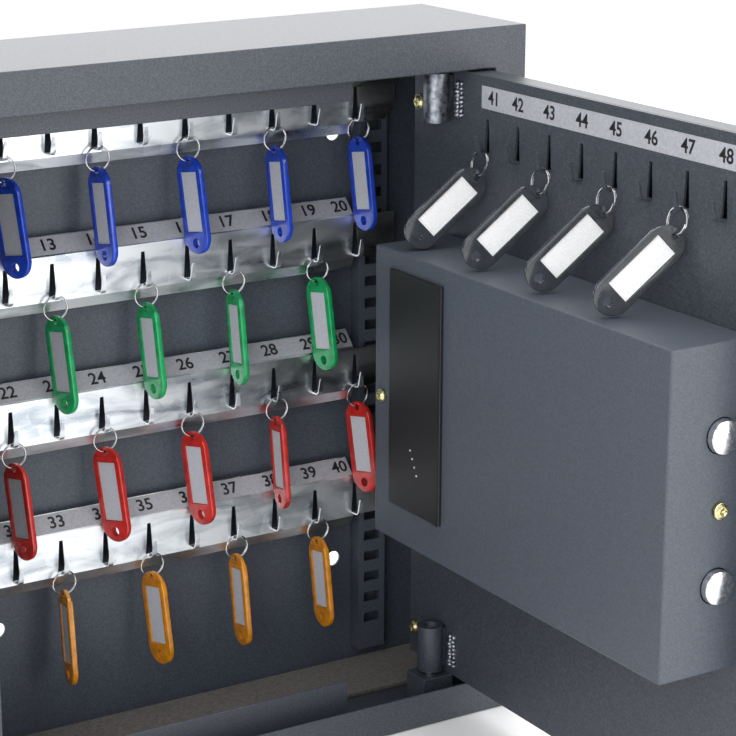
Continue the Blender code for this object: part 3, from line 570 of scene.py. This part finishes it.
def stadium(width, length, thickness, edge):
    """A flat bar with round ends, hanging down from the origin, its faces along Y."""
    bm = bmesh.new()
    radius = width / 2
    rim = bmesh.ops.create_circle(bm, cap_ends=True, segments=40, radius=radius)["verts"]
    for vert in rim:
        vert.co.y += -radius if vert.co.y > -1e-6 else radius - length
    drawn = bmesh.ops.extrude_face_region(bm, geom=bm.faces[:])["geom"]
    bmesh.ops.translate(bm, verts=[v for v in drawn if isinstance(v, bmesh.types.BMVert)],
                        vec=(0, 0, thickness))
    bm.transform(Matrix.Rotation(math.pi / 2, 4, "X") @ Matrix.Translation((0, 0, -thickness / 2)))
    bmesh.ops.recalc_face_normals(bm, faces=bm.faces)
    rims = [e for e in bm.edges if e.calc_face_angle(0) > math.radians(60)]
    bmesh.ops.bevel(bm, geom=rims, offset=edge, offset_type="OFFSET", affect="EDGES",
                    segments=3, profile=0.5, material=-1)
    return bm


def drill(radius, z):
    """A cutter for a round hole through a tag."""
    bm = bmesh.new()
    bmesh.ops.create_cone(bm, cap_ends=True, segments=28, radius1=radius, radius2=radius,
                          depth=0.02, matrix=Matrix.Translation((0, 0, z))
                          @ Matrix.Rotation(math.pi / 2, 4, "X"))
    return bm


TAG_WIDTH = 0.0225
TAG_LENGTH = 0.0595
TAG_THICKNESS = 0.0036
LABEL_WIDTH = 0.0150
LABEL_TOP, LABEL_LOW = -0.0095, -0.0462
TAG_OVERLAP = 0.003
RING_RADIUS = 0.0075
label_middle = (LABEL_TOP + LABEL_LOW) / 2
label_height = LABEL_TOP - LABEL_LOW
# Both faces are cut back for the label's pocket and for the thinner end that takes the ring.
pocket_size, pocket_y = (LABEL_WIDTH, 0.0024, label_height), 0.0019
step_size, step_y, step_z = (0.03, 0.002, 0.009), 0.0021, -0.0016
pockets = [block_bmesh(pocket_size, (0, side * pocket_y, label_middle), edge=0.0003)
           for side in (-1, 1)]
steps = [block_bmesh(step_size, (0, side * step_y, step_z)) for side in (-1, 1)]
ring_hole = drill(radius=0.0021, z=-0.0036)
far_hole = drill(radius=0.0030, z=-0.0528)
tag_blank = carved(stadium(TAG_WIDTH, TAG_LENGTH, TAG_THICKNESS, edge=0.0008),
                   [*pockets, *steps, ring_hole, far_hole])
tag_blank.verts.ensure_lookup_table()
tag_shape = bpy.data.meshes.new("tag_shape")
tag_blank.to_mesh(tag_shape)
tag_blank.free()


def split_ring_bmesh(radius, wire=0.00042):
    """Two close turns of spring wire: a small circle spun round while it creeps sideways."""
    bm = bmesh.new()
    profile = bmesh.ops.create_circle(bm, cap_ends=False, segments=8, radius=wire)["verts"]
    bmesh.ops.transform(bm, verts=profile, matrix=Matrix.Translation((radius, -wire, 0)))
    segments = 76
    turns = 1.93
    creep = 2 * wire * 1.05
    bmesh.ops.spin(bm, geom=bm.edges[:] + bm.verts[:], cent=(0, 0, 0), axis=(0, 1, 0),
                   dvec=(0, creep / (segments / turns), 0), angle=turns * 2 * math.pi,
                   steps=segments, use_merge=False)
    ends = [e for e in bm.edges if e.is_boundary]
    bmesh.ops.holes_fill(bm, edges=ends, sides=0)
    bmesh.ops.remove_doubles(bm, verts=bm.verts, dist=1e-7)
    bmesh.ops.recalc_face_normals(bm, faces=bm.faces)
    bm.transform(Matrix.Rotation(math.radians(200), 4, "Y"))
    return bm


def key_tag(number, base, plastic, label, lean, turn, ring_lean=0.0):
    """Ring, body and label of one tag. base is the top of its ring, on the hook."""
    label_gap, label_thickness = 0.0006, 0.0019
    swing = base @ Matrix.Rotation(ring_lean, 4, "X")
    ring = split_ring_bmesh(RING_RADIUS)
    ring.transform(swing @ Matrix.Translation((0, 0, -RING_RADIUS)))
    ring_piece = bmesh_piece(f"split_ring_{number:02d}", ring, ring_nickel, True)
    ring_end = Matrix.Rotation(ring_lean, 4, "X") @ Vector((0, 0, -2 * RING_RADIUS))
    hang = (base @ Matrix.Translation(ring_end) @ Matrix.Rotation(turn, 4, "Z")
            @ Matrix.Rotation(lean, 4, "X") @ Matrix.Rotation(math.pi / 2, 4, "Z")
            @ Matrix.Translation((0, 0, TAG_OVERLAP)))
    plate = bmesh.new()
    plate.from_mesh(tag_shape)
    plate.transform(hang)
    plate_piece = bmesh_piece(f"tag_body_{number:02d}", plate, plastic, True)
    card = block_bmesh((LABEL_WIDTH - label_gap, label_thickness, label_height - label_gap),
                       (0, 0, label_middle))
    card.transform(hang)
    card_piece = bmesh_piece(f"tag_label_{number:02d}", card, label)
    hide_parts(f"key_tag_{number:02d}")
    for piece in (ring_piece, plate_piece, card_piece):
        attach(piece, f"tag_{number:02d}")


ring_nickel = bare_steel("nickel_plated_wire", 0.18, "C4C4C6", "E8E8EA", 0.003)
row_colours = [tag_plastic("blue_polystyrene", "2350D8"),
               tag_plastic("green_polystyrene", "17B86A"),
               tag_plastic("red_polystyrene", "DE3129"),
               tag_plastic("orange_polystyrene", "EE9A1B")]
smoked = tag_plastic("smoky_clear_polystyrene", "5A5F66", clear=0.55, rough=0.14)
# The cabinet tags' labels are the white card drawn grey: painted shade inside the cabinet.
label_card_painted_shade = mottled("label_card_with_painted_shade", "B4B7BF", "C6C8CE", grain=0.0009, roughness=0.8, detail=3.0)
white_card = mottled("white_label_card", "F2F2F2", "FFFFFF", grain=0.0009, roughness=0.8,
                     detail=3.0)

# The tags in the cabinet hang as they were last left, each turned a little and leaning out
# over the rail below; here are their numbers and turns in degrees. Those on the door hang
# out over the lock cover.
tag_turns = {2: 22, 4: 4, 6: 11, 8: 0, 10: 3, 13: 10, 15: 5, 17: -5, 19: 7, 22: 11, 24: 20,
             26: 14, 28: -8, 30: 11, 33: -9, 35: 10, 37: -4, 39: -2}
ring_out = 0.0042
ring_above_slot = 0.0015
rail_top_above_slot = 0.0351
half_skin = 0.00075
door_slot_z = 0.3655
# The tags in the cabinet take the grey-drawn label card: painted shade.
for number, turn in tag_turns.items():
    row, column = divmod(number - 1, 10)
    slot_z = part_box(f"hook_rail_{row + 1}")[1][2] - rail_top_above_slot
    pivot = (hook_centres[column], RAIL_Y - ring_out, slot_z + ring_above_slot)
    key_tag(number, Matrix.Translation(pivot), row_colours[row], label_card_painted_shade,
            lean=math.radians(-9.5), turn=math.radians(turn))
for i in range(4):
    pivot = on_door(door_hooks[2 * i], door_face + ring_out - half_skin,
                    door_slot_z + ring_above_slot)
    key_tag(41 + 2 * i, Matrix.Translation(pivot) @ door_turn, smoked, white_card,
            lean=math.radians(47.5), turn=math.radians(-17), ring_lean=math.radians(12))
bpy.data.meshes.remove(tag_shape)


# --- Studio -------------------------------------------------------------------------------
# A white floor in a white room, with four soft lights: one overhead, one behind, and one at
# the front on each side. The camera looks down and to the right from the front left.

def softbox(name, place, target, size, power, colour=(1, 1, 1)):
    light = bpy.data.lights.new(name, "AREA")
    light.shape = "RECTANGLE"
    light.size, light.size_y = size
    light.energy = power
    light.color = colour
    lamp = bpy.data.objects.new(name, light)
    lamp.location = place
    lamp.rotation_mode = "QUATERNION"
    lamp.rotation_quaternion = (Vector(target) - Vector(place)).to_track_quat("-Z", "Y")
    bpy.context.scene.collection.objects.link(lamp)


floor_finish = new_finish("white_paper_sweep", Base_Color=(0.97, 0.97, 0.97, 1),
                          Roughness=0.95)[0]
floor_gap = 0.0005
bm = bmesh.new()
bmesh.ops.create_grid(bm, x_segments=1, y_segments=1, size=6.0,
                      matrix=Matrix.Translation((0, 0, low_corner.z - floor_gap)))
floor = bmesh_piece("floor", bm, floor_finish)
softbox("overhead", (0.1, -0.2, 1.9), (0, -0.1, 0.2), (1.8, 1.4), power=26)
softbox("behind_above", (1.0, 2.0, 1.1), (0, 0, 0.4), (2.4, 1.2), power=24)
softbox("left_front", (-1.8, -1.6, 1.1), (0.05, -0.1, 0.22), (1.4, 1.6), power=18,
        colour=(0.97, 0.98, 1))
softbox("right_front", (0.75, -1.5, 0.5), (0.15, -0.3, 0.2), (0.8, 1.2), power=10)
world = bpy.data.worlds.new("white_room")
bpy.context.scene.world = world
world.use_nodes = True
backdrop = world.node_tree.nodes["Background"]
backdrop.inputs["Color"].default_value = (1, 1, 1, 1)
backdrop.inputs["Strength"].default_value = 1.0

camera_data = bpy.data.cameras.new("camera")
camera_data.sensor_width = 36
camera_data.lens = 113.7
camera_data.shift_x = 0.158
camera_data.shift_y = -0.067
camera = bpy.data.objects.new("camera", camera_data)
camera_spot = (-0.6324, -1.2316, 0.627)
heading, dip, roll = math.radians(-29.38), math.radians(15.02), math.radians(-0.55)
camera.matrix_world = (Matrix.Translation(camera_spot) @ Matrix.Rotation(heading, 4, "Z")
                       @ Matrix.Rotation(math.pi / 2 - dip, 4, "X")
                       @ Matrix.Rotation(roll, 4, "Z"))
bpy.context.scene.collection.objects.link(camera)
bpy.context.scene.camera = camera
bpy.context.scene.view_settings.view_transform = "Standard"
